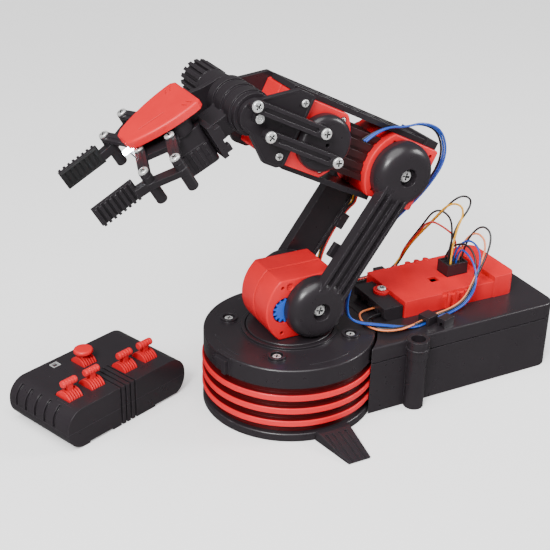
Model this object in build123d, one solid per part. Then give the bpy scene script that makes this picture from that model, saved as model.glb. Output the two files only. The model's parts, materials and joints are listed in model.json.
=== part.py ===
from build123d import *
import os
from math import atan2, cos, degrees, hypot, pi, radians, sin, tan

os.makedirs("parts", exist_ok=True)

# Electric robot arm kit with a wired hand controller. Millimetres.
# Origin: centre of the round base's underside, on the turning axis.
# +X is the way the arm reaches, +Y its near side, +Z up.

# ---- driving dimensions ----
BASE_R = 53.0
RIB_R = 53.4
DRUM_R = 49.6
DRUM_IN_R = 46.6
DISC_R = 52.5
DISC_Z0 = 36.2
DISC_Z1 = 48.1
TURN_HOLE_R = 27.4
TURN_R = 26.8
TURN_TOP = 50.4
BOX_HALF = 42.4
POST_X = -64.2
BOX_END = -173.4
LID_SEAM = 34.9
LID_TOP = 45.7
BOX_GAP_R = 53.9
WALL = 2.2

HALF_Y = 16.7
HALF_H = 19.5
ARC_SAG = 9.0
SHELL = 2.0
SHAFT_R = 4.0
HUB_IN = HALF_Y + 0.25
RUN = 0.05
DOME_R = 19.2
LINK_IN = 21.0
LINK_OUT = 28.0
LINK_W = 19.5
LINK_SEAT = 24.0

SHOULDER = (-6.0, 70.0)
ELBOW = (-59.8, 145.4)
FOREARM_PITCH = 26.9
WRIST_GEAR_S = 58.7
WRIST_S = 105.5
HAND_PITCH = -30.2

CRANK_REACH = 9.9
CRANK_ANGLE = 38.9
FORK_IN = 16.9
FORK_OUT = 19.9
EAR_IN = 20.2
EAR_OUT = 23.8
BAR_IN = 24.1
BAR_OUT = 28.6

YAW_TEETH = 40
YAW_PINION_TEETH = 12
SHOULDER_TEETH = 22
SHOULDER_PINION_TEETH = 14
ARM_MODULE = 0.9
ARM_TEETH = 20
MESH_GAP = 0.12

PALM_FRONT = (60.0, 7.5)
PALM_REAR = (44.0, 15.9)
FINGER_FRONT = (67.0, 29.0)
LEVER_Z = 17.5
LEVER_T = 2.4

PAD_CENTRE = (110.0, -38.7)
PAD_TURN = 21.5
PAD_HALF_L = 46.5
PAD_HALF_W = 27.0
PAD_TOP = 26.0
PAD_SEAM = 12.0
T_LEVER_AT = (31.0, 14.0, -12.0, -28.5)
T_LEVER_ROW = 10.5
ROUND_LEVER_AT = (0.5, -12.5)

WIRE_R = 0.65
WIRE_PITCH = 1.38
PLUG_AT = (-123.0, -5.0)
PLUG_TOP = 64.42
NEAR_CLIP = (-82.0, 29.0)
NEAR_CLIP_TURN = 15
FAR_CLIP = (-88.0, -37.0)
ARM_CLIP_LEVEL = LINK_W / 2 + 3.2
FAR_PINS = ((1, 1), (1, 0), (0, -1), (-1, -1))
FAR_CRESTS = ((-125, 107.5), (-134, 110.0), (-118, 101.5), (-114, 94.0))
FAR_LOOPS = tuple(zip(FAR_PINS, FAR_CRESTS))
NEAR_LOOPS = (((1, -1), (-124.5, 81.5)), ((0, 0), (-127.5, 84.0)), ((0, 1), (-121.5, 78.5)))
LOOSE_LOOPS = (((-1, 0), (-133, 88.0), 2.6, 4.0), ((-1, 1), (-136, 93.0), 0.0, 12.0))


# ---- helpers ----
def save(name, *shapes):
    solids = [solid for shape in shapes for solid in shape.solids()]
    export_step(Compound(children=solids) if len(solids) > 1 else solids[0], f"parts/{name}.step")


def box(x0, x1, y0, y1, z0, z1):
    centre = Pos((x0 + x1) / 2, (y0 + y1) / 2, (z0 + z1) / 2)
    return centre * Box(x1 - x0, y1 - y0, z1 - z0)


def along_y(radius, y0, y1, x=0.0, z=0.0):
    return Pos(x, (y0 + y1) / 2, z) * Rot(90, 0, 0) * Cylinder(radius, abs(y1 - y0))


def along_z(radius, z0, z1, x=0.0, y=0.0):
    return Pos(x, y, (z0 + z1) / 2) * Cylinder(radius, z1 - z0)


def along_x(radius, x0, x1, y=0.0, z=0.0):
    return Pos((x0 + x1) / 2, y, z) * Rot(0, 90, 0) * Cylinder(radius, x1 - x0)


def slab(face, y0, y1):
    """A face drawn in X and Z, given thickness from y0 to y1."""
    return Pos(0, y1, 0) * extrude(Plane.XZ * face, y1 - y0)


def layer(face, z0, z1):
    """A face drawn in X and Y, given thickness from z0 to z1."""
    return Pos(0, 0, z0) * extrude(face, z1 - z0)


def outline(*points):
    return make_face(Polyline(*points, close=True))


def rounded(face, radius):
    return fillet(face.vertices(), radius)


def on_arm(origin, pitch, part):
    """Places a part drawn level at its pivot, with its length along X."""
    return Pos(origin[0], 0, origin[1]) * Rot(0, -pitch, 0) * part


def step_from(origin, pitch, length):
    return (origin[0] + length * cos(radians(pitch)), origin[1] + length * sin(radians(pitch)))


def mirror_y(part):
    return mirror(part, Plane.XZ)


UPPER_LENGTH = hypot(ELBOW[0] - SHOULDER[0], ELBOW[1] - SHOULDER[1])
UPPER_PITCH = degrees(atan2(ELBOW[1] - SHOULDER[1], ELBOW[0] - SHOULDER[0]))
WRIST = step_from(ELBOW, FOREARM_PITCH, WRIST_S)


def on_upper(part):
    return on_arm(SHOULDER, UPPER_PITCH, part)


def on_forearm(part):
    return on_arm(ELBOW, FOREARM_PITCH, part)


def on_hand(part):
    return on_arm(WRIST, HAND_PITCH, part)


def on_pad(part):
    return Pos(PAD_CENTRE[0], PAD_CENTRE[1], 0) * Rot(0, 0, PAD_TURN) * part


def screw(radius=2.8, height=1.5, shank_r=1.2, shank=4.0):
    """A cross-head screw standing on z = 0, its shank going down."""
    head = Cylinder(radius, height, align=(Align.CENTER, Align.CENTER, Align.MIN))
    head = fillet(head.edges().sort_by(Axis.Z)[-1], height * 0.6)
    slot = Pos(0, 0, height) * Box(radius * 1.2, radius * 0.28, height * 1.3)
    cross = slot + Rot(0, 0, 90) * slot
    pin = Cylinder(shank_r, shank, align=(Align.CENTER, Align.CENTER, Align.MAX))
    return head - cross + pin


def screw_y(x, y, z, side=1, **sizes):
    """The same screw driven into a face at y, its head outwards on that side."""
    return Pos(x, y, z) * Rot(-90 * side, 0, 0) * Rot(0, 0, 20) * screw(**sizes)


def gear(teeth, module, y0, y1, bore, tooth_at):
    """A spur gear about Y with one tooth pointing tooth_at degrees from X towards Z."""
    root = module * (teeth / 2 - 1.15)
    tip = module * (teeth / 2 + 0.85)
    foot = 0.95 * module
    land = 0.38 * module
    tooth = outline((root - 0.5, -foot), (tip, -land), (tip, land), (root - 0.5, foot))
    face = Circle(root)
    for index in range(teeth):
        face += Rot(0, 0, tooth_at + 360 * index / teeth) * tooth
    return slab(face - Circle(bore), y0, y1)


def flat_gear(teeth, z0, z1, bore, tooth_at):
    """The same gear about Z, with module 1 and angles from X towards Y."""
    upright = gear(teeth, 1.0, 0, z1 - z0, bore, -tooth_at)
    return Pos(0, 0, z0) * Rot(90, 0, 0) * upright


# ---- base ----
def base_plate():
    plate = along_z(BASE_R, 0, 5)
    plate = fillet(plate.edges().sort_by(Axis.Z)[-1], 1.2)
    plate -= along_z(DRUM_IN_R - 1.5, 2.4, 6)
    plate += along_z(9, 2, 9)
    for angle in range(0, 360, 45):
        plate += Rot(0, 0, angle) * box(8.5, DRUM_IN_R - 1, -0.8, 0.8, 2, 5)
    plate -= box(BOX_END, -50, -60, 60, -1, 8)
    return plate - along_z(3.05, 3.5, 10)


def stabiliser_foot():
    """One outrigger: a ribbed tongue that slopes from the base plate to the floor."""
    side = outline((BASE_R - 0.3, 0), (82, 0), (82.5, 1.2), (BASE_R + 3, 6.2), (BASE_R - 0.3, 6.2))
    tongue = Pos(9.4, 0, 0) * extrude(Plane.YZ * side, -21.8)
    taper = outline((9.4, 52), (3.4, 83), (-10.6, 83), (-12.4, 52))
    tongue &= layer(taper, -1, 8)
    for across in (-7.5, -3.2, 1.2, 5.2):
        tongue -= Pos(across, 72, 5.3) * Rot(-10.7, 0, 0) * Box(1.6, 27, 6)
    return tongue - along_z(BASE_R, -1, 9)


def ribbed_drum():
    drum = along_z(DRUM_R, 5, DISC_Z0)
    for low, high in ((27.6, 31.7), (18.8, 22.9), (10.2, 14.2)):
        rib = along_z(RIB_R, low, high)
        drum += fillet(rib.edges().filter_by(GeomType.CIRCLE), 0.9)
    drum -= along_z(DRUM_IN_R, 4, 40)
    return drum - box(-60, -44, -20, 20, 8, 30)


def box_outline(inset):
    edge = outline(
        (BOX_END + inset, BOX_HALF - inset),
        (BOX_END + inset, -BOX_HALF + inset),
        (-30, -BOX_HALF + inset),
        (-30, BOX_HALF - inset),
    )
    corners = edge.vertices().group_by(Axis.X)[0]
    return fillet(corners, 9.0 - inset)


def front_cut(z0, z1):
    return along_z(BOX_GAP_R, z0, z1)


def side_posts(z0, z1, radius):
    return [along_z(radius, z0, z1, POST_X, side * (BOX_HALF + 3.0)) for side in (-1, 1)]


def battery_box():
    tub = layer(box_outline(0), 0, LID_SEAM)
    for post in side_posts(0, LID_SEAM, 6.2):
        tub += post
    tub -= layer(box_outline(WALL), WALL, 60)
    tub += box(-62, -48, -BOX_HALF + 1, BOX_HALF - 1, 1, LID_SEAM)
    tub -= front_cut(-1, 60)
    tub += box(-168, -66, -1.0, 1.0, WALL - 0.5, 16)
    for x in (-150, -120, -90):
        tub += box(x - 1, x + 1, -BOX_HALF + 1, BOX_HALF - 1, WALL - 0.5, 7)
    for post in side_posts(-1, 60, 2.0):
        tub -= post
    return tub


def battery_lid():
    lid = layer(box_outline(0), LID_SEAM, LID_TOP)
    lid = fillet(lid.edges().group_by(Axis.Z)[-1].sort_by(Axis.X)[:3], 1.4)
    for post in side_posts(LID_SEAM, LID_TOP + 1.2, 6.8):
        lid += post
    for post in side_posts(LID_TOP - 5.5, LID_TOP - 4.3, 7.3):
        lid += post
    lid -= layer(box_outline(WALL), LID_SEAM - 1, LID_TOP - WALL)
    lid -= layer(box_outline(-1) - box_outline(0.7), LID_SEAM - 1, LID_SEAM + 0.7)
    lid += box(-62, -48, -BOX_HALF + 1, BOX_HALF - 1, LID_SEAM, LID_TOP - 1)
    lid -= front_cut(20, 60)
    for post in side_posts(LID_SEAM + 4, 60, 4.6):
        lid -= post
    for post in side_posts(LID_SEAM - 1, 60, 2.0):
        lid -= post
    return lid


def batteries():
    """Four round cells in two rows."""
    cells = []
    for row in (-19.5, 19.5):
        for start in (-166.4, -116.2):
            cell = along_x(13.1, start, start + 48.6, row, WALL + 5 + 13.4)
            cell = fillet(cell.edges().filter_by(GeomType.CIRCLE), 1.0)
            cells.append(cell + along_x(3.4, start + 48.5, start + 50, row, WALL + 5 + 13.4))
    return cells


def battery_contacts():
    """A plate and a coil spring, drawn as a cone, at each end of each row."""
    parts = []
    for row in (-19.5, 19.5):
        level = WALL + 5 + 13.4
        plate = box(-170.6, -170.0, row - 9, row + 9, 8, 32)
        cone = Pos(-168.3, row, level) * Rot(0, 90, 0) * Cone(6.5, 3.5, 3.4)
        stud = box(-63.6, -63.0, row - 9, row + 9, 8, 32) + along_x(4, -65.9, -63, row, level)
        parts += [plate + cone, stud]
    return parts


def base_disc():
    disc = along_z(DISC_R, DISC_Z0, DISC_Z1)
    disc = fillet(disc.edges().sort_by(Axis.Z)[-1], 1.2)
    disc += along_z(TURN_HOLE_R + 2.2, DISC_Z1 - 1, DISC_Z1 + 1.6)
    disc -= along_z(DISC_R - 2.4, DISC_Z0 - 1, DISC_Z1 - 2.6)
    for angle in (-39, 51, 138, 221):
        x = 38 * cos(radians(angle))
        y = 38 * sin(radians(angle))
        disc += along_z(5.4, DISC_Z0, DISC_Z1 + 1.7, x, y)
        disc -= along_z(3.7, DISC_Z1 - 0.7, DISC_Z1 + 2, x, y)
        disc -= along_z(1.25, DISC_Z0 - 1, DISC_Z1, x, y)
    disc -= along_z(TURN_HOLE_R, DISC_Z0 - 1, DISC_Z1 + 4)
    groove = along_z(46.6, DISC_Z1 - 0.4, DISC_Z1 + 1) - along_z(46.0, DISC_Z1 - 1, DISC_Z1 + 2)
    for centre in (5, 95, 180, 270):
        gap = Rot(0, 0, centre) * box(0, 60, -14, 14, 40, 50)
        disc -= groove & gap
    notch = Rot(0, 0, 15) * box(49.6, 60, -6.5, 6.5, DISC_Z0 - 1, DISC_Z1 + 1)
    return disc - notch


def disc_latch():
    """Snap tab that closes the notch in the rim of the top disc."""
    tab = box(49.7, 52.6, -6.3, 6.3, DISC_Z0 + 0.3, DISC_Z1 - 0.1)
    tab += box(52.4, 55.2, -4.5, 4.5, DISC_Z0 + 1.2, DISC_Z1 - 1.8)
    tab -= box(53.6, 56, -4.6, 1.2, DISC_Z0, DISC_Z1 - 5.5)
    return Rot(0, 0, 15) * tab


def disc_screws():
    parts = []
    for angle in (-39, 51, 138, 221):
        spot = Pos(38 * cos(radians(angle)), 38 * sin(radians(angle)), DISC_Z1 - 0.7)
        parts.append(spot * Rot(0, 0, angle) * screw(2.9, 1.6, 1.2, 6))
    return parts


def yaw_housing():
    """Gearbox that turns the arm, standing in the drum beside the big gear."""
    shell = box(16, 42, -13, 13, 6, 25)
    shell -= box(18, 40, -11, 11, 8, 23)
    return shell + box(16, 20, -13, -9, 3, 7) + box(38, 42, 9, 13, 3, 7) - along_z(2.05, 20, 30, YAW_MESH, 0)


def yaw_motor():
    return along_x(7.0, 23, 38, 0, 15)


def yaw_pinion():
    teeth = Pos(YAW_MESH, 0, 0) * flat_gear(YAW_PINION_TEETH, 27, 32, 1.0, 180 + 180 / YAW_PINION_TEETH)
    return teeth + along_z(2.0, 22.3, 34, YAW_MESH, 0)


# ---- circuit cover on the lid ----
def circuit_cover():
    front = outline((-71.5, -27), (-71.5, 18.5), (-155, 19.5), (-155, -27))
    cover = layer(fillet(front.vertices().group_by(Axis.X)[0], 5), LID_TOP, 57)
    raised = outline((-139, -27.5), (-139, 19.8), (-155.6, 19.8), (-155.6, -27.5))
    cover += layer(fillet(raised.vertices().group_by(Axis.X)[0], 5.5), LID_TOP, 60.5)
    cover += along_z(5.4, 53.2, 56.2, -68.4, -4.2)
    cover -= layer(offset(front, -1.8), LID_TOP - 1, 55.2)
    for x in (-103, -110, -117):
        cover += Pos(x, -27, 54) * Cylinder(2.0, 7)
    for x in (-103, -109.5, -116):
        cover += box(x - 0.9, x + 0.9, 18, 21.2, LID_TOP, 57)
    cover -= box(-120, -99, 17.2, 19.6, 54.4, 58) - box(-120, -99, 17.2, 17.3, 50, 60)
    cover -= box(-108, -102, -3.5, 2.5, 50, 60)
    px, py = PLUG_AT
    cover -= box(px - 8.2, px + 8.2, py - 6.2, py + 6.2, 50, 62)
    cover -= along_z(1.4, 50, 60, -68.4, -4.2)
    return cover


def circuit_board():
    board = box(-151, -76, -24, 15.5, LID_TOP + 2.2, LID_TOP + 3.8)
    for x, y in ((-147, -20), (-147, 11), (-80, -20), (-80, 11)):
        board += along_z(2.0, LID_TOP, LID_TOP + 2.4, x, y)
    for x in (-96, -86):
        board += box(x - 3, x + 3, -18, -8, LID_TOP + 3.6, LID_TOP + 6)
    return board


def plug_pin(column, row):
    return PLUG_AT[0] + 4.2 * column, PLUG_AT[1] + 3.2 * row


def wire_connector():
    """Black plug block standing up through the cover."""
    px, py = PLUG_AT
    block = box(px - 7.8, px + 7.8, py - 5.8, py + 5.8, LID_TOP + 3.8, 65)
    block -= box(px - 6.8, px + 6.8, py - 5.0, py + 5.0, 63.6, 66)
    for column in (-1, 0, 1):
        for row in (-1, 0, 1):
            x, y = plug_pin(column, row)
            block += box(x - 1.4, x + 1.4, y - 1, y + 1, 63, PLUG_TOP - 0.02)
    return block


def cover_screw():
    return Pos(-68.4, -4.2, 56.2) * Rot(0, 0, 20) * screw(2.9, 1.4, 1.2, 9)


def terminal_block():
    block = box(-70.6, -57.0, -18.5, 17.5, LID_TOP, 54.6)
    block = chamfer(block.edges().filter_by(Axis.Y).sort_by(Axis.X)[-1:], 3)
    for y in (-12, -4, 4, 12):
        block -= box(-62, -50, y - 2.4, y + 2.4, LID_TOP + 1.6, LID_TOP + 5)
    return block - front_cut(40, 60) - along_z(5.7, 52.8, 60, -68.4, -4.2) - along_z(1.4, 46, 60, -68.4, -4.2)


def wire_clip(x, y, turn, slot, length=9.0):
    """A low saddle clip with a slot under it for a few wires."""
    clip = Box(length, slot + 3.4, 5.8) - Pos(0, 0, -1.5) * Box(length + 2, slot, 3.2)
    return Pos(x, y, LID_TOP + 2.9) * Rot(0, 0, turn) * clip


def base_wire_clips():
    near = wire_clip(*NEAR_CLIP, NEAR_CLIP_TURN, 4.7)
    spare = wire_clip(-90, 36.5, NEAR_CLIP_TURN, 2.6)
    return [near, spare, wire_clip(*FAR_CLIP, 0, 3.0, 7)]


# ---- wires ----
def bend_radii(points):
    """The largest tangent bend at each corner that leaves both runs partly straight."""
    radii = []
    for before, corner, after in zip(points, points[1:], points[2:]):
        run_in = Vector(*corner) - Vector(*before)
        run_out = Vector(*after) - Vector(*corner)
        turn = radians(run_in.get_angle(run_out))
        radii.append(0.45 * min(run_in.length, run_out.length) / tan(turn / 2))
    return radii


def wire(points):
    """A sleeved wire along straight runs and tangent bends."""
    radii = bend_radii(points)
    path = FilletPolyline(*points, radius=radii)
    sleeve = sweep(Plane(origin=path @ 0, z_dir=path % 0) * Circle(WIRE_R), path)
    spread = sleeve.volume / (pi * WIRE_R ** 2 * path.length)
    print("wire", round(path.length), "mm, tightest bend", round(min(radii), 1), "volume", round(spread, 3))
    return sleeve


def between(start, end, share):
    return tuple(a + (b - a) * share for a, b in zip(start, end))


def beside_link(along, off, y):
    """A point beside the upper arm: along it from the shoulder, off its rear side."""
    x, z = step_from(step_from(SHOULDER, UPPER_PITCH, along), UPPER_PITCH + 90, off)
    return (x, y, z)


def beside_forearm(along, off, y):
    """A point beside the forearm: along it from the elbow, off its top side."""
    x, z = step_from(step_from(ELBOW, FOREARM_PITCH, along), FOREARM_PITCH + 90, off)
    return (x, y, z)


def lane(index, columns):
    """Sideways and upward place of one wire in a bundle that is a few wires wide."""
    side = (index % columns - (columns - 1) / 2) * WIRE_PITCH
    return side, index // columns * WIRE_PITCH


def far_crossing(index):
    """The straight run of a far wire that crosses onto the turntable."""
    side, rise = lane(index, 2)
    return (-50, -28 + side, 50.6 + rise), (-35, -23.5 + side, 52.4 + rise)


def far_base_route(index, pin, crest):
    """From the plug, over in a high loop, through the far clip and onto the disc."""
    side, rise = lane(index, 2)
    x, y = plug_pin(*pin)
    cx, cz = crest
    floor = LID_TOP + WIRE_R + 0.05 + rise
    start, end = far_crossing(index)
    over = (cx + 6, y - 6.0, cz - 1)
    return [
        (x, y, PLUG_TOP), (x - 0.6, y - 0.6, PLUG_TOP + (cz - PLUG_TOP) * 0.45),
        (cx - 4, y - 2.4, cz - 7), over,
        between(over, (-101, -33, 62), 0.4), between(over, (-101, -37, 58), 0.8),
        (-101.5 - rise, FAR_CLIP[1] + 0.4 + side, 53 + rise), (-94.5, FAR_CLIP[1] + side, floor),
        (-81, FAR_CLIP[1] + side, floor), (-68, -34.0 + side, floor + 1.4), start, between(start, end, 0.5),
    ]


def far_shoulder_route(index):
    """From the disc up the rear edge of the far link, into its clip."""
    side, rise = lane(index, 2)
    start, end = far_crossing(index)
    level = ARM_CLIP_LEVEL - WIRE_PITCH / 2 + rise
    return [
        between(start, end, 0.51), end, (-28.8 - rise, -22.4 + side, 59.5 + rise * 0.5),
        beside_link(13, 20.5 - WIRE_PITCH / 2 + rise, -22 + side), beside_link(31, level, -22.2 + side),
        beside_link(49, level, -22.2 + side),
    ]


def far_elbow_route(index):
    """From the far link's clip into the underside of the elbow gearbox."""
    side, rise = lane(index, 2)
    level = ARM_CLIP_LEVEL - WIRE_PITCH / 2 + rise
    return [
        beside_link(49.1, level, -22.2 + side), beside_link(57, level, -21.6 + side),
        beside_link(65, level, -17.4 + side), beside_forearm(0.3 - rise, -HALF_H - 0.7, -15 + side),
    ]


def near_crossing(index):
    """The straight run of a near wire that crosses onto the turntable."""
    side = lane(index, 3)[0]
    return (-48, 27 + side, 51.2), (-33, 21 + side, 53.4)


def near_base_route(index, pin, crest):
    """From the plug, over the near edge of the cover, to the far end of the near clip."""
    side, rise = lane(index, 3)
    x, y = plug_pin(*pin)
    cx, cz = crest
    floor = LID_TOP + WIRE_R + 0.05 + rise
    return [
        (x, y, PLUG_TOP), (x - 0.5, y + 0.8, PLUG_TOP + (cz - PLUG_TOP) * 0.5),
        (cx, 4.5 + side, cz), (cx - 0.5, 17.5 + side, cz - 5),
        (-119.5 + rise, 25 + side, 63), (-113.5 + rise, 25.4 + side, 51.5 + rise * 0.6),
        (-102, 25.4 + side, floor + 0.3), (-91, 26.4 + side, floor), (-76, 30.6 + side, floor),
        (-66, 31.6 + side, floor + 0.8),
    ]


def near_shoulder_route(index):
    """From the disc up behind the near link's hub and between the links."""
    side = lane(index, 3)[0]
    start, end = near_crossing(index)
    return [
        between(start, end, 0.51), end, (-27.6, 18.6 + side, 61), (-32, 15.4 + side, 77),
        (-43, 12.5 + side, 93), (-53, 11.4 + side, 104.5),
    ]


def near_elbow_route(index):
    """From between the links, round behind the elbow and over it to the forearm's waist."""
    side = lane(index, 3)[0]
    lift = index * 0.7
    return [
        between((-53, 11.4 + side, 104.5), (-66, 10.6 + side, 113.8), 0.02), (-66, 10.6 + side, 113.8),
        (-85, 9.6 + side, 127), (-97.5 - lift, 9.2 + side, 145), (-92 - lift, 10.4 + side, 163 + lift),
        (-77, 13 + side, 171 + lift), beside_forearm(8, 24.4 + lift, 15 + side),
        beside_forearm(24, 19.0 + lift, 15.2 + side), beside_forearm(32 - index, 9.0, 15.2 + side * 0.5),
    ]


def loose_base_route(index, pin, crest, wide, pocket):
    """From the plug through the near clip, round in a loop on the disc, into the terminal block."""
    return near_base_route(index, pin, crest)[:-1] + [
        (-66, 32.6 + wide * 0.3, 49.0), (-56, 32.8 + wide, 49.5), (-45.5 + wide * 0.4, 29 + wide * 0.7, 49.6),
        (-43.5 + wide, 19.5, 49.5), (-47.5 + wide, pocket + 2.0, 49.4),
        (-56, pocket, 49.1), (-60.5, pocket, 49.0),
    ]


def base_wires():
    bundle = []
    for index, (pin, crest) in enumerate(FAR_LOOPS):
        bundle.append(wire(far_base_route(index, pin, crest)))
    for index, (pin, crest) in enumerate(NEAR_LOOPS):
        start, end = near_crossing(index)
        bundle.append(wire(near_base_route(index, pin, crest) + [start, between(start, end, 0.5)]))
    for index, (pin, crest, wide, pocket) in enumerate(LOOSE_LOOPS, start=3):
        bundle.append(wire(loose_base_route(index, pin, crest, wide, pocket)))
    return bundle


# ---- turntable and shoulder ----
def turntable():
    plate = along_z(TURN_R, DISC_Z1 - 2.2, TURN_TOP)
    plate = fillet(plate.edges().sort_by(Axis.Z)[-1], 0.8)
    plate += along_z(12, 33, DISC_Z1)
    plate += along_z(3.0, 3.6, 34)
    return plate


def yaw_gear():
    ring = flat_gear(YAW_TEETH, 27.4, 31.6, 3.0, 0)
    return ring + along_z(11.5, 31.6, 33) - along_z(3.0, 20, 40)


def shell_face(back, front, inset=0.0):
    """D-shaped outline, flat behind and round in front, about the output shaft."""
    bend = front - ARC_SAG
    flat = Polyline((bend, HALF_H), (-back, HALF_H), (-back, -HALF_H), (bend, -HALF_H))
    arc = ThreePointArc((bend, -HALF_H), (front, 0), (bend, HALF_H))
    face = make_face(flat + arc)
    return offset(face, -inset) if inset else rounded(face, 1.6)


def gear_shell(back, front):
    """One half of a gearbox: a deep cup with the shaft hole in its side."""
    half = slab(shell_face(back, front), 0, HALF_Y)
    outer = half.edges().group_by(Axis.Y)[-1]
    half = fillet(outer, 0.9)
    half -= slab(shell_face(back, front, SHELL), -1, HALF_Y - SHELL)
    half -= along_y(SHAFT_R + RUN, HALF_Y - 3, HALF_Y + 1)
    return half


def shell_details(half, back, front, sunk):
    """Moulded rim, screw pillars and small holes on a gearbox side, with or without seats for heads."""
    rim = slab(shell_face(back, front), 0, 1.0) - slab(shell_face(back, front, 0.5), -1, 2)
    half -= rim
    for x, z in shell_screw_spots(back, front):
        if sunk:
            half -= along_y(2.5, HALF_Y - 0.8, HALF_Y + 1, x, z)
        half += along_y(2.2, 0, HALF_Y - 1.0, x, z)
        half -= along_y(1.1, 4, HALF_Y + 1, x, z)
    return half


def shell_halves(sizes, near_sunk=False):
    """The near and far half, screwed together from the far side or from both."""
    near = shell_details(gear_shell(*sizes), *sizes, near_sunk)
    far = mirror_y(shell_details(gear_shell(*sizes), *sizes, True))
    return near, far


def shell_screw_spots(back, front):
    edge = HALF_H - 4.4
    behind = -back + 4.4
    ahead = front - 10.5
    return [(behind, edge), (behind, -edge), (ahead, edge - 0.2), (ahead, -edge + 0.2)]


def shell_screws(back, front, sides):
    small = {"radius": 2.0, "height": 0.9, "shank_r": 1.0, "shank": 7}
    heads = []
    for side in sides:
        for x, z in shell_screw_spots(back, front):
            heads.append(screw_y(x, side * (HALF_Y - 0.8), z, side, **small))
    return heads


def gear_motor(x, z, length=24.0):
    """Small can motor across the gearbox, with its pinion stub."""
    can = along_y(7.4, -13.6, -13.6 + length * 0.62, x, z)
    return can + along_y(1.0, -13.6 + length * 0.6, 3.4, x, z)


SHOULDER_SHELL = (14.7, 30.6)
ELBOW_SHELL = (21.6, 22.0)
WRIST_SHELL = (28.3, 18.1)
SHOULDER_MESH = (SHOULDER_TEETH + SHOULDER_PINION_TEETH) / 2 + MESH_GAP
YAW_MESH = (YAW_TEETH + YAW_PINION_TEETH) / 2 + MESH_GAP


def shoulder_at(part):
    return Pos(SHOULDER[0], 0, SHOULDER[1]) * part


def shoulder_housing():
    near, far = shell_halves(SHOULDER_SHELL)
    near -= along_y(8.3, 14, 18, SHOULDER_MESH)
    near -= along_y(2.4, HALF_Y - 1.2, HALF_Y + 1, 15.2, 14.8)
    return shoulder_at(near), shoulder_at(far)


def output_gear(teeth=ARM_TEETH, module=ARM_MODULE, toward=0.0):
    """Last gear of a joint, fixed on its output shaft."""
    return gear(teeth, module, 8.0, 12.0, SHAFT_R, toward)


def shoulder_pinion():
    """Gear on a thin spindle, a tooth gap facing the output gear, flush with the round window."""
    wheel = gear(SHOULDER_PINION_TEETH, 1.0, 7.5, HALF_Y - 0.2, 0.9, 180 + 180 / SHOULDER_PINION_TEETH)
    return Pos(SHOULDER_MESH, 0, 0) * (wheel + along_y(1.0, 4.0, HALF_Y - 0.4))


def output_shaft():
    """Joint shaft, drilled at both ends for its screws."""
    shaft = along_y(SHAFT_R, -HUB_IN, HUB_IN)
    return shaft - along_y(1.25, 12, 30) - along_y(1.25, -30, -12)


# ---- upper arm ----
def link():
    """One upper-arm side: two domed hubs joined by a ribbed channel."""
    hub = along_y(DOME_R, HUB_IN, LINK_OUT + 0.4)
    hub = fillet(hub.edges().group_by(Axis.Y)[-1], 8.0)
    bar = box(0, UPPER_LENGTH, LINK_IN, LINK_OUT - 2.4, -LINK_W / 2, LINK_W / 2)
    for level in (-LINK_W / 2 + 1.0, -3.4, 3.4, LINK_W / 2 - 1.0):
        bar += box(0, UPPER_LENGTH, LINK_OUT - 2.5, LINK_OUT, level - 1.0, level + 1.0)
    bar += box(14, UPPER_LENGTH - 14, LINK_IN - 1.2, LINK_IN + 2.2, LINK_W / 2 - 0.2, LINK_W / 2 + 1.6)
    part = bar + hub + Pos(UPPER_LENGTH, 0, 0) * hub
    for x in (0, UPPER_LENGTH):
        part -= along_y(5.6, LINK_SEAT, LINK_OUT + 2, x)
        part -= along_y(1.25, 10, LINK_OUT + 1, x)
    return part


def link_screws():
    heads = []
    for side in (1, -1):
        for x in (0, UPPER_LENGTH):
            heads.append(screw_y(x, side * LINK_SEAT, 0, side, radius=3.7, height=1.8, shank=LINK_SEAT - 12.8))
    return heads


def link_clip(start, length, level, side):
    """Snap clip on the edge of a link, with a cross slot for the wires."""
    clip = box(start, start + length, LINK_IN - 3.6, LINK_OUT - 3.4, level - 2.6, level + 2.6)
    clip -= box(start - 1, start + length + 1, LINK_IN - 1.0, LINK_OUT - 2.0, level - 1.5, level + 1.5)
    clip -= box(start - 1, start + length + 1, LINK_IN - 0.6, LINK_OUT, level - 3, level)
    return clip if side > 0 else mirror_y(clip)


# ---- forearm ----
def forearm_housings():
    wrist_halves = [wrist_shell_at(half) for half in shell_halves(WRIST_SHELL, True)]
    return (*shell_halves(ELBOW_SHELL), *wrist_halves)


def wrist_shell_at(part):
    return Pos(WRIST_GEAR_S, 0, 0) * Rot(0, 180, 0) * part


def forearm_waist():
    """Dark spacer that ties the two gearboxes together."""
    waist = box(ELBOW_SHELL[1] - 4, WRIST_GEAR_S - WRIST_SHELL[1] + 6, -12.5, 12.5, -13.5, 13.5)
    waist -= slab(shell_face(*ELBOW_SHELL), -30, 30)
    turned = Rot(0, 180, 0) * slab(shell_face(*WRIST_SHELL), -30, 30)
    waist -= Pos(WRIST_GEAR_S, 0, 0) * turned
    for level in (-9, -3, 3, 9):
        waist -= box(20, 45, 11.6, 13, level - 1, level + 1)
        waist -= box(20, 45, -13, -11.6, level - 1, level + 1)
    return waist


def top_rail():
    """Long cross-braced rail clipped to the gearbox tops."""
    strip = box(-17, 87.2, -12.5, 12.5, HALF_H + 0.02, HALF_H + 3.2)
    for index in range(9):
        x = -11 + index * 10.6
        strip -= box(x, x + 7.4, 2.0, 10.4, HALF_H + 1.3, HALF_H + 5)
        strip -= box(x, x + 7.4, -10.4, -2.0, HALF_H + 1.3, HALF_H + 5)
    strip += box(-20.5, -12, -14, 14, HALF_H + 0.02, HALF_H + 4.6)
    return strip


def bottom_rail():
    strip = box(8, 72, -12.5, 12.5, -HALF_H - 3.2, -HALF_H - 0.02)
    for index in range(5):
        x = 12 + index * 11.6
        strip -= box(x, x + 8, -10, 10, -HALF_H - 5, -HALF_H - 1.4)
    return strip


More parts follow.
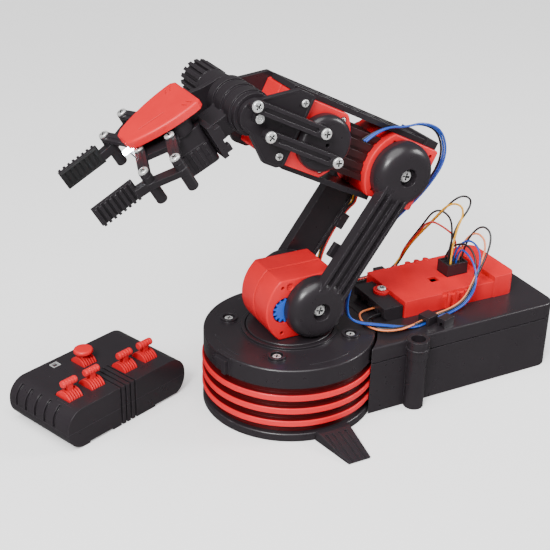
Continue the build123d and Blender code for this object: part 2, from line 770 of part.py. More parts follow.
def fork_face():
    nose = ((WRIST_S + 2, 9.4), (WRIST_S, -9.6))
    base = outline((76.6, 22.0), (87.6, 22.3), *nose, (89.5, -22.0), (81, -22.0), (76.6, -19.4))
    return rounded(base, 2.0) + Pos(WRIST_S, 0) * Circle(9.8)


def fork_plate():
    plate = slab(fork_face(), FORK_IN - 0.2, FORK_OUT)
    plate += slab(fork_face() - offset(fork_face(), -1.4), FORK_OUT - 0.2, FORK_OUT + 0.15)
    plate -= along_y(3.05, 10, 30, WRIST_S, 0)
    for x, z in ((81.4, 16.3), (82.2, -15.6)):
        plate -= along_y(1.1, 10, 30, x, z)
    return plate


def fork_screws():
    small = {"radius": 2.2, "height": 1.0, "shank_r": 1.0, "shank": 3.1}
    heads = []
    for side in (1, -1):
        for x, z in ((81.4, 16.3), (82.2, -15.6)):
            heads.append(screw_y(x, side * (FORK_OUT + 0.15), z, side, **small))
    return heads


# ---- wrist drive ----
def crank_spot(sign):
    return (sign * CRANK_REACH * cos(radians(CRANK_ANGLE)), sign * CRANK_REACH * sin(radians(CRANK_ANGLE)))


def wrist_crank():
    disc = along_y(16.6, HUB_IN, EAR_OUT)
    disc = fillet(disc.edges().group_by(Axis.Y)[-1], 4.0)
    for sign in (1, -1):
        x, z = crank_spot(sign)
        disc += along_y(4.6, EAR_OUT - 3, EAR_OUT, x, z)
        disc += along_y(2.2, EAR_OUT - 1, BAR_OUT, x, z)
        disc -= along_y(1.0, EAR_OUT - 4, BAR_OUT + 1, x, z)
    return disc - along_y(1.25, 10, 30)


def crank_screws():
    heads = []
    for sign in (1, -1):
        x, z = crank_spot(sign)
        heads.append(screw_y(x, BAR_OUT + 0.05, z, 1, radius=3.2, height=1.6, shank_r=1.0, shank=6))
    return heads


def link_bar(sign):
    """Flat bar between the crank and the hand, drawn in forearm axes."""
    x, z = crank_spot(sign)
    start = WRIST_GEAR_S + x
    end = WRIST_S + x
    face = Pos((start + end) / 2, z) * SlotCenterToCenter(end - start, 6.6)
    bar = slab(face, BAR_IN, BAR_OUT - 0.1)
    groove = Pos((start + end) / 2, z) * SlotCenterToCenter(end - start - 12, 2.6)
    bar -= slab(groove, BAR_OUT - 1.3, BAR_OUT + 1)
    bar -= along_y(2.25, 20, 34, start, z)
    return bar - along_y(2.45, 20, 34, end, z)


# ---- hand ----
def ear_face():
    body = outline((0, 10.6), (10, 12), (24, 16.4), (35, -4.5), (31, -13), (23, -13), (12, -9.6), (0, -10.6))
    return rounded(body, 1.6) + Circle(10.9)


def hand_bracket():
    """Two ears joined by a cross wall, carried on the wrist pivot."""
    near = slab(ear_face(), EAR_IN, EAR_OUT)
    far = mirror_y(near)
    near += slab(Rot(0, 0, 57.1) * crank_arm_face(), EAR_OUT - 1.6, EAR_OUT)
    for sign in (1, -1):
        x, z = hand_crank_spot(sign)
        near += along_y(2.2, EAR_OUT - 1, BAR_OUT, x, z)
        near -= along_y(1.0, EAR_OUT - 3, BAR_OUT + 1, x, z)
    wall = box(23.5, 26.5, -EAR_IN - 1, EAR_IN + 1, -8, 13)
    wall += box(20, 24, -EAR_IN - 1, -EAR_IN + 3, -6, 10) + box(20, 24, EAR_IN - 3, EAR_IN + 1, -6, 10)
    bracket = near + far + wall
    bracket -= box(17, 22, 10, 30, -2.2, 2.0)
    bracket -= along_y(1.0, 10, 30, 18.7, 9.8)
    bracket -= along_y(1.0, 10, 30, 15.2, 9.9)
    return bracket - along_y(3.0, -30, 30)


def hand_crank_spot(sign):
    turn = radians(CRANK_ANGLE + FOREARM_PITCH - HAND_PITCH)
    return (sign * CRANK_REACH * cos(turn), sign * CRANK_REACH * sin(turn))


def crank_arm_face():
    return Rot(0, 0, CRANK_ANGLE) * SlotCenterToCenter(2 * CRANK_REACH, 9.0)


def hand_screws():
    heads = []
    for sign in (1, -1):
        x, z = hand_crank_spot(sign)
        heads.append(screw_y(x, BAR_OUT + 0.05, z, 1, radius=3.2, height=1.6, shank_r=1.0, shank=6))
    heads.append(screw_y(0, EAR_OUT + 0.01, 0, 1, radius=2.6, height=0.2, shank_r=1.0, shank=3))
    return heads


def wrist_pivot():
    return along_y(2.99, -EAR_OUT, EAR_OUT) - along_y(1.05, EAR_OUT - 4, EAR_OUT + 1)


def wrist_barrel():
    barrel = along_y(11.8, -FORK_IN + 0.5, FORK_IN - 0.5)
    for level in (-12.2, -2.2, 9.0):
        barrel += along_y(12.8, level - 3.2, level + 3.2)
    barrel += box(7, 23.5, -9, 9, -5, 6)
    return barrel - along_y(3.0, -30, 30)


def motor_collar():
    """Smooth collar of the outboard wrist motor, on the far ear."""
    return along_y(10.4, -34, -EAR_OUT)


def motor_cap():
    """Finned end cap of the outboard wrist motor."""
    cap = along_y(8.8, -57, -34)
    for index in range(16):
        fin = Rot(0, index * 22.5, 0) * box(8.0, 10.8, -56.4, -34.6, -1.1, 1.1)
        cap += fin
    return cap + along_y(10.4, -36.2, -34)


def gripper_housing():
    """Two stacked cups round the gripper gears: lower and upper."""
    face = rounded(outline((26.6, -14.5), (26.6, 14.5), (46, 12.5), (46, -12.5)), 3.0)
    lower = layer(face, -10, 4) - layer(offset(face, -SHELL), -8, 6)
    upper = layer(face, 4, 14) - layer(offset(face, -SHELL), 3, 12)
    for x in (30, 34.5, 39, 43.5):
        lower += box(x - 0.9, x + 0.9, -15.4 + (x - 26) * 0.1, -12, -9, 3)
        lower += box(x - 0.9, x + 0.9, 12, 15.4 - (x - 26) * 0.1, -9, 3)
    return lower, upper


def gripper_motor():
    return along_x(6.2, 29.5, 43, 0, 1.0)


def cover_face(inset=0.0):
    """Shield outline: straight back, bowed flanks and a blunt nose."""
    flank = ThreePointArc((26, 17.9), (45, 15.6), (60.8, 9.6))
    nose = Polyline((60.8, 9.6), (63.5, 6.5), (63.5, -6.5), (60.8, -9.6))
    back = Polyline((26, -17.9), (22.8, -17.6), (20.5, -15), (20.5, 15), (22.8, 17.6), (26, 17.9))
    face = make_face(flank + nose + ThreePointArc((60.8, -9.6), (45, -15.6), (26, -17.9)) + back)
    return offset(face, -inset) if inset else face


def hand_cover():
    """Red shield over the hand, crowned across and slotted."""
    shield = layer(cover_face(), 22.8, 27.4)
    shield = fillet(shield.edges().group_by(Axis.Z)[-1], 1.5)
    shield -= layer(cover_face(1.8), 20, 25.4)
    shield -= Pos(46, 4.5, 27.4) * Rot(0, 0, -6) * Box(16, 0.7, 1.2)
    for side in (1, -1):
        for x in (25.5, 28.3):
            shield -= Pos(x, side * 12.0, 27.4) * Rot(0, 0, side * 25) * Box(0.8, 5.0, 1.2)
    return shield


def cover_frame():
    """Black frame that carries the red cover above the gripper housing."""
    frame = box(24, 44, -8.5, 8.5, 14, 22.6)
    frame += box(22.5, 56.6, -6.5, 6.5, 20.2, 22.6)
    for side in (1, -1):
        frame += along_z(6.4, 14, 22.0, 35.5, side * 8.8)
    frame -= along_z(3.6, 20.4, 30, 35.5, 8.8)
    return frame - along_z(3.6, 20.4, 30, 35.5, -8.8)


def palm_plate():
    """Plate that holds the four lever pivots."""
    face = rounded(outline((40, -17), (40, 17), (46, 19.4), (63.4, 10.4), (63.4, -10.4), (46, -19.4)), 2.6)
    plate = layer(face, LEVER_Z - 3.4, LEVER_Z - 0.25)
    plate -= box(38, 45, -9.2, 9.2, 10, 20)
    plate -= along_z(6.9, 10, 20, 35.5, 8.8) + along_z(6.9, 10, 20, 35.5, -8.8)
    for (x, y) in (PALM_FRONT, PALM_REAR):
        for side in (1, -1):
            plate += along_z(1.6, LEVER_Z - 1, LEVER_Z + LEVER_T + 0.1, x, side * y)
            plate -= along_z(0.9, LEVER_Z - 2, LEVER_Z + 5, x, side * y)
    return plate


def palm_screws():
    heads = []
    for (x, y) in (PALM_FRONT, PALM_REAR):
        for side in (1, -1):
            heads.append(Pos(x, side * y, LEVER_Z + LEVER_T + 0.1) * screw(2.8, 1.4, 0.9, 3))
    return heads


def led_lamp():
    bulb = along_x(1.5, 61.5, 66.0, 0, 24.0 - 4.6) + Pos(66.0, 0, 19.4) * Sphere(1.5)
    return bulb + along_x(1.8, 61.0, 61.8, 0, 19.4)


def led_holder():
    return box(54, 61.0, -2.4, 2.4, LEVER_Z - 1, 21.0) - along_x(0.8, 58, 70, 0, 19.4)


def lever(pivot):
    """One gripper lever from a palm pivot to its finger pivot, near side."""
    reach = (FINGER_FRONT[0] - PALM_FRONT[0], FINGER_FRONT[1] - PALM_FRONT[1])
    length = hypot(*reach)
    turn = degrees(atan2(reach[1], reach[0]))
    face = SlotCenterToCenter(length, 5.8)
    bar = layer(Pos(length / 2, 0) * face, LEVER_Z, LEVER_Z + LEVER_T)
    bar += box(4, length - 4, -0.9, 0.9, LEVER_Z + LEVER_T - 0.2, LEVER_Z + LEVER_T + 0.8)
    bar -= along_z(1.75, 10, 30)
    bar -= along_z(1.9, 10, 30, length, 0)
    return Pos(pivot[0], pivot[1], 0) * Rot(0, 0, turn) * bar


def finger_rear():
    return (FINGER_FRONT[0] + PALM_REAR[0] - PALM_FRONT[0], FINGER_FRONT[1] + PALM_REAR[1] - PALM_FRONT[1])


def finger():
    """Near finger: two posts on a bar, and the comb-edged jaw."""
    rear = finger_rear()
    run = (rear[0] - FINGER_FRONT[0], rear[1] - FINGER_FRONT[1])
    turn = degrees(atan2(run[1], run[0]))
    bar_face = Pos(hypot(*run) / 2, 0) * SlotCenterToCenter(hypot(*run), 6.4)
    body = Pos(*FINGER_FRONT, 0) * Rot(0, 0, turn) * layer(bar_face, 10.2, 13.6)
    for x, y in (FINGER_FRONT, rear):
        post = along_z(3.0, -0.4, LEVER_Z - 0.3, x, y)
        body += fillet(post.edges().sort_by(Axis.Z)[:1], 1.2)
        body += along_z(1.7, LEVER_Z - 1, LEVER_Z + LEVER_T + 0.1, x, y)
        body -= along_z(0.9, LEVER_Z - 3, LEVER_Z + 5, x, y)
    body += outline_bar((FINGER_FRONT[0], FINGER_FRONT[1] - 0.5), (76, 27.3), 5.0, 9.4, 14.4)
    body += box(74.3, 99.4, 25.2, 27.6, 8.4, 19.4)
    for index in range(8):
        x = 76.2 + index * 3.1
        body += box(x - 0.75, x + 0.75, 27.4, 29.6, 8.4, 19.4)
    return body


def outline_bar(start, end, width, z0, z1):
    run = (end[0] - start[0], end[1] - start[1])
    turn = degrees(atan2(run[1], run[0]))
    bar = Pos(hypot(*run) / 2, 0, (z0 + z1) / 2) * Box(hypot(*run), width, z1 - z0)
    return Pos(start[0], start[1], 0) * Rot(0, 0, turn) * bar


def finger_pad():
    """Soft grid pad on the gripping face of the near finger."""
    pad = box(75.0, 99.0, 24.3, 25.2, 9.0, 18.8)
    for index in range(7):
        x = 77.8 + index * 3.1
        pad -= box(x - 0.5, x + 0.5, 24.0, 24.8, 9.8, 18.0)
    return pad


def finger_screws():
    heads = []
    for x, y in (FINGER_FRONT, finger_rear()):
        heads.append(Pos(x, y, LEVER_Z + LEVER_T + 0.1) * Rot(0, 0, 30) * screw(2.8, 1.4, 0.9, 3))
    return heads


# ---- controller ----
def pad_profile(inset, z0, z1):
    """Long stadium seen from the side, given the controller's width."""
    height = PAD_TOP - 2 * inset
    face = Pos(0, PAD_TOP / 2) * RectangleRounded(2 * (PAD_HALF_L - inset), height, height * 0.46)
    body = slab(face, -PAD_HALF_W + inset, PAD_HALF_W - inset)
    return body & box(-60, 60, -40, 40, z0, z1)


def lever_sockets(grow):
    cuts = []
    for x in T_LEVER_AT:
        cuts.append(along_x(6.8 + grow, x - 5.2 - grow, x + 5.2 + grow, T_LEVER_ROW, PAD_TOP - 3.0))
    x, y = ROUND_LEVER_AT
    cuts.append(along_x(6.8 + grow, x - 5.2 - grow, x + 5.2 + grow, y, PAD_TOP - 3.0))
    return cuts


def controller_bottom():
    body = pad_profile(0, 0, PAD_SEAM)
    body -= pad_profile(2.2, 2.2, 40)
    for x in (-30, 22):
        body -= box(x - 9, x + 9, -30, 30, -1, 1.1)
    for cut in band_grooves(0, PAD_SEAM):
        body -= cut
    return body


def band_grooves(z0, z1):
    """Grooves that leave three thin ribs round the middle, on the near half."""
    shell = pad_profile(0, 0, 40) - pad_profile(1.3, 0, 40)
    cuts = [box(x - 0.7, x + 0.7, 2, 30, z0, z1) for x in (-5.2, -1.5, 2.2, 5.9)]
    return [cut & shell for cut in cuts]


def grip_grooves():
    """Upright grooves between the finger grips on the front end."""
    shell = pad_profile(0, 0, 40) - pad_profile(1.5, 0, 40)
    return [box(34, 52, y - 1.2, y + 1.2, PAD_SEAM - 4, 24.4) & shell for y in (-20, -11.5, -3, 5.5, 14)]


def panel_lines():
    """Shallow joint line across the top, stepped round the near front lever."""
    depth = PAD_TOP - 0.8
    return [
        box(41.0, 41.9, -23, 4, depth, 40), box(38.5, 39.4, 9, 21, depth, 40),
        Pos(40.2, 6.6, depth + 5) * Rot(0, 0, 24) * Box(0.9, 6.2, 10),
    ]


def controller_top():
    body = pad_profile(0, PAD_SEAM, 40)
    body -= pad_profile(2.2, 0, PAD_TOP - 2.2)
    for socket in lever_sockets(0.5):
        body -= socket
    for cut in band_grooves(PAD_SEAM, 40) + grip_grooves() + panel_lines():
        body -= cut
    body -= box(12.2, 18.6, -24.6, -18.8, PAD_TOP - 3, 40)
    body -= box(-PAD_HALF_L - 2, -PAD_HALF_L + 4, -4.5, 4.5, PAD_SEAM, PAD_SEAM + 5)
    return body


def cable_socket():
    """Socket in the back end for the lead to the arm."""
    frame = box(-PAD_HALF_L + 0.8, -PAD_HALF_L + 8, -4.3, 4.3, PAD_SEAM + 0.1, PAD_SEAM + 4.9)
    return frame - box(-PAD_HALF_L, -PAD_HALF_L + 6, -3.1, 3.1, PAD_SEAM + 1.2, PAD_SEAM + 3.8)


def controller_board():
    return box(-34, 38, -20, 20, 6, 7.6) + box(-20, -16, -16, -12, 2.3, 6) + box(26, 30, 12, 16, 2.3, 6)


def fan_base():
    """Ribbed half-round thumb pad about its own rocking axle."""
    fan = along_x(5.3, -4.85, 4.85)
    for index in range(6):
        x = -4.4 + index * 1.76
        fan += along_x(6.8, x - 0.45, x + 0.45)
    fan &= box(-6, 6, -8, 8, -2.5, 9)
    return fan


def t_lever():
    stem = box(-1.8, 1.8, -1.7, 1.7, 5, 11.6)
    bar = along_x(2.0, -5.2, 5.2, 0, 11.7)
    for index in range(5):
        x = -4.0 + index * 2.0
        bar += along_x(2.3, x - 0.5, x + 0.5, 0, 11.7)
    return fan_base() + stem + bar


def round_lever():
    top = along_z(6.0, 9.4, 11.8)
    top = fillet(top.edges().sort_by(Axis.Z)[-1], 1.5)
    return fan_base() + along_z(2.8, 5, 9.6) + top


def pad_levers():
    axle = PAD_TOP - 3.0
    levers = [Pos(x, T_LEVER_ROW, axle) * t_lever() for x in T_LEVER_AT]
    x, y = ROUND_LEVER_AT
    return levers, Pos(x, y, axle) * round_lever()


def light_button():
    """Square push button with a raised rim."""
    button = box(12.7, 18.1, -24.1, -19.3, PAD_TOP - 4.5, PAD_TOP - 0.1)
    return button - box(13.3, 17.5, -23.5, -19.9, PAD_TOP - 1.3, PAD_TOP + 1)


# ---- build ----
def build_base():
    foot = stabiliser_foot()
    save("base_plate", base_plate() + foot + mirror_y(foot))
    save("ribbed_drum", ribbed_drum())
    save("battery_box", battery_box())
    save("battery_lid", battery_lid())
    save("battery_cells", *batteries(), *battery_contacts())
    save("base_disc", base_disc(), disc_latch())
    save("base_screws", *disc_screws(), cover_screw())
    save("yaw_gearmotor", yaw_housing(), yaw_motor())
    save("yaw_pinion", yaw_pinion())
    save("circuit_cover", circuit_cover())
    save("circuit_board", circuit_board())
    save("connector_blocks", wire_connector(), terminal_block())
    save("base_wire_clips", *base_wire_clips())
    save("base_wires", *base_wires())


def build_turntable():
    save("turntable", turntable() + yaw_gear())
    save("shoulder_housing", *shoulder_housing())
    save("shoulder_motor", shoulder_at(gear_motor(12.5, -8.0)))
    save("shoulder_housing_screws", *[shoulder_at(head) for head in shell_screws(*SHOULDER_SHELL, (-1,))])
    save("shoulder_pinion", shoulder_at(shoulder_pinion()))
    routes = [near_shoulder_route(index) for index in range(len(NEAR_LOOPS))]
    routes += [far_shoulder_route(index) for index in range(len(FAR_LOOPS))]
    save("shoulder_wires", *[wire(route) for route in routes])


def build_upper_arm():
    near = link()
    save("link_near", on_upper(near + link_clip(30, 9, -LINK_W / 2 - 0.4, 1)))
    save("link_far", on_upper(mirror_y(near) + link_clip(44, 10, ARM_CLIP_LEVEL, -1)))
    save("link_screws", *[on_upper(head) for head in link_screws()])
    lower = output_shaft() + output_gear(SHOULDER_TEETH, 1.0)
    upper = output_shaft() + output_gear(toward=180)
    save("arm_shafts", shoulder_at(lower), on_forearm(upper))
    routes = [near_elbow_route(index) for index in range(len(NEAR_LOOPS))]
    routes += [far_elbow_route(index) for index in range(len(FAR_LOOPS))]
    save("elbow_wires", *[wire(route) for route in routes])


def build_forearm():
    elbow_near, elbow_far, wrist_near, wrist_far = forearm_housings()
    save("elbow_housing", on_forearm(elbow_near), on_forearm(elbow_far))
    save("wrist_housing", on_forearm(wrist_near), on_forearm(wrist_far))
    motors = [gear_motor(-10.0, -8.5), wrist_shell_at(gear_motor(-15.5, 8.5))]
    save("forearm_motors", *[on_forearm(motor) for motor in motors])
    save("forearm_waist", on_forearm(forearm_waist()))
    save("forearm_rails", on_forearm(top_rail()), on_forearm(bottom_rail()))
    plate = fork_plate()
    save("fork_plates", on_forearm(plate), on_forearm(mirror_y(plate)))
    free_corners = shell_screws(*WRIST_SHELL, (1,))[2:4] + shell_screws(*WRIST_SHELL, (-1,))[2:4]
    screws = shell_screws(*ELBOW_SHELL, (-1,)) + [wrist_shell_at(head) for head in free_corners]
    save("forearm_screws", *[on_forearm(head) for head in screws + fork_screws()])


def build_wrist_drive():
    at_gear = Pos(WRIST_GEAR_S, 0, 0)
    crank = wrist_crank() + output_shaft() + output_gear()
    save("wrist_crank", on_forearm(at_gear * crank))
    save("crank_screws", *[on_forearm(at_gear * head) for head in crank_screws()])
    save("upper_link_bar", on_forearm(link_bar(1)))
    save("lower_link_bar", on_forearm(link_bar(-1)))


def build_hand():
    parts = {
        "hand_bracket": [hand_bracket()],
        "wrist_barrel": [wrist_barrel() + wrist_pivot()],
        "wrist_motor_housing": [motor_collar() + motor_cap()],
        "gripper_housing": gripper_housing(),
        "gripper_motor": [gripper_motor()],
        "palm_frame": [cover_frame() + palm_plate() + led_holder()],
        "hand_cover": [hand_cover()],
        "led_lamp": [led_lamp()],
        "hand_screws": hand_screws() + palm_screws(),
    }
    for name, solids in parts.items():
        save(name, *[on_hand(solid) for solid in solids])


def build_gripper():
    pieces = {
        "front_lever": [lever(PALM_FRONT)],
        "rear_lever": [lever(PALM_REAR)],
        "finger": [finger() + finger_pad()] + finger_screws(),
    }
    for name, solids in pieces.items():
        save(f"{name}_near", *[on_hand(solid) for solid in solids])
        save(f"{name}_far", *[on_hand(mirror_y(solid)) for solid in solids])


def build_controller():
    t_levers, round_one = pad_levers()
    save("controller_bottom", on_pad(controller_bottom()))
    save("controller_top", on_pad(controller_top()))
    save("controller_board", on_pad(controller_board()), on_pad(cable_socket()))
    for index, part in enumerate(t_levers, start=1):
        save(f"t_lever_{index}", on_pad(part))
    save("round_lever", on_pad(round_one))
    save("light_button", on_pad(light_button()))


build_base()
build_turntable()
build_upper_arm()
build_forearm()
build_wrist_drive()
build_hand()
build_gripper()
build_controller()
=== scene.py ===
import bpy
from math import atan2, cos, degrees, radians, sin
from mathutils import Matrix, Vector
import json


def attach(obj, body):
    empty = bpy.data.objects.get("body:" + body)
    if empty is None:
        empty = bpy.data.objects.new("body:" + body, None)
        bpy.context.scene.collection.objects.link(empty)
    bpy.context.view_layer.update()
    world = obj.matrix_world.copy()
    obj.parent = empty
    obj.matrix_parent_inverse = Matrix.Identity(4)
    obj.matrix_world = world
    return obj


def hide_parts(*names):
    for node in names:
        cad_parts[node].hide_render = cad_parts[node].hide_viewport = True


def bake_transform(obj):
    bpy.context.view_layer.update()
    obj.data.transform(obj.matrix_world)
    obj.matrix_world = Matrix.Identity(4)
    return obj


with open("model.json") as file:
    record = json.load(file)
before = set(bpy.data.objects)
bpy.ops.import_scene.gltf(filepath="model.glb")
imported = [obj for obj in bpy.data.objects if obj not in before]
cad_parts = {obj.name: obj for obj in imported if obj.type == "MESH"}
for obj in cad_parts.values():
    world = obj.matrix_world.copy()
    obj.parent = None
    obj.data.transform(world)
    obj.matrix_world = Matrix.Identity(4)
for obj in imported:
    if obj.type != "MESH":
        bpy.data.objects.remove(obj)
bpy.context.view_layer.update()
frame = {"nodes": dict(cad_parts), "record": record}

# Electric robot arm kit: the CAD frame in moulded plastics and plated metal, with sleeved wiring.
# Routes and the other places shared with the CAD are in millimetres, as in the part's own source,
# and drawn() and the face tests turn them into metres. Everything else is in metres.

MM = 0.001

BLACK = (0.0185, 0.0152, 0.0180)
GRIPPER_BLACK = (0.0150, 0.0125, 0.0148)
# Black edge colour: partly rubbed wear, partly a painted highlight.
WORN_AND_HIGHLIGHT_BLACK = (0.075, 0.070, 0.078)
RED = (0.66, 0.009, 0.016)
# Red edge colour: partly rubbed wear, partly a painted highlight.
WORN_AND_HIGHLIGHT_RED = (0.80, 0.075, 0.075)
# Painted shade for the drum's rib tops and the gaps between its ribs.
PAINTED_RIB_SHADE_RED = (0.075, 0.003, 0.004)
# Painted shade for the slots and corners of metal parts.
SLOT_PAINTED_SHADE = (0.02, 0.02, 0.022)

# Noise values between these two carry nearly all of a texture's variation.
NOISE_LOW = 0.3
NOISE_HIGH = 0.7
TONE_SCALE = 55.0
GLOSS_SCALE = 160.0
DULL_SCALE = 220.0
SCRATCH_SCALE = 900.0
HAZE_SCALE = 700.0

# The drum's ribs carry painted shade on their tops and in the gaps between them, and their plain red only
# on their rims; the colour turns from the one to the other between these distances from its axis.
RIB_SHADE = 0.0522
RIB_LIT = 0.0530


# ---- materials ----
def new_material(name):
    material = bpy.data.materials.new(name)
    material.use_nodes = True
    nodes = material.node_tree.nodes
    return material, nodes, material.node_tree.links, nodes["Principled BSDF"]


def noise(nodes, links, where, scale, detail=3.0):
    node = nodes.new("ShaderNodeTexNoise")
    node.inputs["Scale"].default_value = scale
    node.inputs["Detail"].default_value = detail
    node.inputs["Roughness"].default_value = 0.55
    links.new(where, node.inputs["Vector"])
    return node.outputs["Fac"]


def ramp(nodes, links, source, low, high):
    """Colour from low to high over a noise's usual range."""
    node = nodes.new("ShaderNodeValToRGB")
    node.color_ramp.elements[0].position = NOISE_LOW
    node.color_ramp.elements[0].color = (*low, 1)
    node.color_ramp.elements[1].position = NOISE_HIGH
    node.color_ramp.elements[1].color = (*high, 1)
    links.new(source, node.inputs["Fac"])
    return node.outputs["Color"]


def rescaled(nodes, links, source, start, end, low=0.0, high=1.0):
    """Source taken from start..end to low..high, and held at both ends."""
    node = nodes.new("ShaderNodeMapRange")
    node.inputs["From Min"].default_value = start
    node.inputs["From Max"].default_value = end
    node.inputs["To Min"].default_value = low
    node.inputs["To Max"].default_value = high
    links.new(source, node.inputs["Value"])
    return node.outputs["Result"]


def span(nodes, links, source, low, high):
    """A noise's usual range taken to low..high."""
    return rescaled(nodes, links, source, NOISE_LOW, NOISE_HIGH, low, high)


def mixed(nodes, links, factor, first, second):
    """First where the factor is 0 and second where it is 1, each a plain colour or a node's output."""
    node = nodes.new("ShaderNodeMix")
    node.data_type = "RGBA"
    links.new(factor, node.inputs["Factor"])
    for value, socket in ((first, node.inputs["A"]), (second, node.inputs["B"])):
        if isinstance(value, tuple):
            socket.default_value = (*value, 1)
        else:
            links.new(value, socket)
    return node.outputs["Result"]


def soft_edge(nodes, radius):
    """Normal that rounds the moulded edges."""
    bevel = nodes.new("ShaderNodeBevel")
    bevel.samples = 6
    bevel.inputs["Radius"].default_value = radius
    return bevel.outputs["Normal"]


def edge_mask(nodes, links, rounded):
    """Mask of the rubbed wear and painted highlight: half strength along sharp edges, where the rounded
    normal leaves the surface's own.
    """
    geometry = nodes.new("ShaderNodeNewGeometry")
    dot = nodes.new("ShaderNodeVectorMath")
    dot.operation = "DOT_PRODUCT"
    links.new(geometry.outputs["Normal"], dot.inputs[0])
    links.new(rounded, dot.inputs[1])
    return rescaled(nodes, links, dot.outputs["Value"], 0.96, 0.80, 0.0, 0.5)


def bumped(nodes, links, height, strength, distance, rounded):
    bump = nodes.new("ShaderNodeBump")
    bump.inputs["Strength"].default_value = strength
    bump.inputs["Distance"].default_value = distance
    links.new(rounded, bump.inputs["Normal"])
    links.new(height, bump.inputs["Height"])
    return bump.outputs["Normal"]


def rib_painted_shade_mask(nodes, links, where):
    """Painted-shade mask of the drum: 0 (painted shade) nearer the drum's upright axis than RIB_SHADE, 1
    from RIB_LIT outward.
    """
    level = nodes.new("ShaderNodeMapping")
    level.inputs["Scale"].default_value = (1, 1, 0)
    links.new(where, level.inputs["Vector"])
    radius = nodes.new("ShaderNodeVectorMath")
    radius.operation = "LENGTH"
    links.new(level.outputs["Vector"], radius.inputs[0])
    return rescaled(nodes, links, radius.outputs["Value"], RIB_SHADE, RIB_LIT)


def moulded(
    name, colour, rough, grain=2600.0, grain_depth=0.04, coat=0.0, worn_and_highlight=None, spread=0.05,
    radius=0.0004, shine=0.5, painted_shade=None,
):
    """Injection-moulded plastic: fine spark grain, slow tone drift, corners lighter from rubbed wear and a
    painted highlight, and where asked painted shade by the drum's ribs.
    """
    material, nodes, links, shader = new_material(name)
    where = nodes.new("ShaderNodeTexCoord").outputs["Object"]
    rounded = soft_edge(nodes, radius)
    low = tuple(value * (1 - spread) for value in colour)
    high = tuple(min(1.0, value * (1 + spread)) for value in colour)
    tone = ramp(nodes, links, noise(nodes, links, where, TONE_SCALE), low, high)
    # Lighter along sharp edges: partly rubbed wear, partly a painted highlight.
    if worn_and_highlight is not None:
        tone = mixed(nodes, links, edge_mask(nodes, links, rounded), tone, worn_and_highlight)
    # Painted shade on the drum's rib tops and between its ribs; the plain colour stays on their rims.
    if painted_shade is not None:
        tone = mixed(nodes, links, rib_painted_shade_mask(nodes, links, where), painted_shade, tone)
    gloss = noise(nodes, links, where, GLOSS_SCALE)
    grain_height = noise(nodes, links, where, grain, 2.0)
    links.new(tone, shader.inputs["Base Color"])
    links.new(span(nodes, links, gloss, rough - 0.02, rough + 0.03), shader.inputs["Roughness"])
    links.new(bumped(nodes, links, grain_height, grain_depth, 0.0002, rounded), shader.inputs["Normal"])
    shader.inputs["Specular IOR Level"].default_value = shine
    shader.inputs["Coat Weight"].default_value = coat
    shader.inputs["Coat Roughness"].default_value = 0.22
    return material


def hollow_shade_mask(nodes, links, reach):
    """Mask of painted shade: 0 deep in slots and corners, 1 in the open."""
    shade = nodes.new("ShaderNodeAmbientOcclusion")
    shade.samples = 8
    shade.inputs["Distance"].default_value = reach
    return rescaled(nodes, links, shade.outputs["AO"], 0.45, 0.85)


def metal(name, colour, rough, brushed=(1, 1, 1), metallic=1.0):
    """Plated or drawn metal with faint scratches, dulled patches, and painted shade in its slots and
    corners.
    """
    material, nodes, links, shader = new_material(name)
    where = nodes.new("ShaderNodeTexCoord").outputs["Object"]
    stretch = nodes.new("ShaderNodeMapping")
    stretch.inputs["Scale"].default_value = brushed
    links.new(where, stretch.inputs["Vector"])
    scratches = noise(nodes, links, stretch.outputs["Vector"], SCRATCH_SCALE, 4.0)
    dull = noise(nodes, links, where, DULL_SCALE)
    tone = ramp(nodes, links, dull, tuple(value * 0.82 for value in colour), colour)
    # Painted shade darkens the metal in its slots and corners.
    tone = mixed(nodes, links, hollow_shade_mask(nodes, links, 0.0016), SLOT_PAINTED_SHADE, tone)
    links.new(tone, shader.inputs["Base Color"])
    links.new(span(nodes, links, scratches, rough - 0.08, rough + 0.12), shader.inputs["Roughness"])
    rounded = soft_edge(nodes, 0.00025)
    links.new(bumped(nodes, links, scratches, 0.2, 0.0001, rounded), shader.inputs["Normal"])
    shader.inputs["Metallic"].default_value = metallic
    return material


def lens(name):
    """Clear lamp dome, lit from inside."""
    material, nodes, links, shader = new_material(name)
    where = nodes.new("ShaderNodeTexCoord").outputs["Object"]
    haze = noise(nodes, links, where, HAZE_SCALE)
    tone = ramp(nodes, links, haze, (0.80, 0.88, 1.0), (0.95, 0.98, 1.0))
    links.new(tone, shader.inputs["Base Color"])
    links.new(span(nodes, links, haze, 0.05, 0.14), shader.inputs["Roughness"])
    links.new(tone, shader.inputs["Emission Color"])
    shader.inputs["Emission Strength"].default_value = 25.0
    shader.inputs["Transmission Weight"].default_value = 0.3
    return material


black = moulded("black_plastic", BLACK, 0.29, worn_and_highlight=WORN_AND_HIGHLIGHT_BLACK, shine=0.45)
black_ribbed = moulded("black_gripper_plastic", GRIPPER_BLACK, 0.38, worn_and_highlight=WORN_AND_HIGHLIGHT_BLACK, shine=0.4)
rubber = moulded("pad_rubber", (0.007, 0.007, 0.0075), 0.62, grain=1800, grain_depth=0.5)
red = moulded("red_plastic", RED, 0.36, worn_and_highlight=WORN_AND_HIGHLIGHT_RED, spread=0.06, shine=0.30)
red_ribbed_painted_shade = moulded(
    "ribbed_red_painted_shade", RED, 0.36, worn_and_highlight=WORN_AND_HIGHLIGHT_RED, spread=0.06, shine=0.30, painted_shade=PAINTED_RIB_SHADE_RED,
)
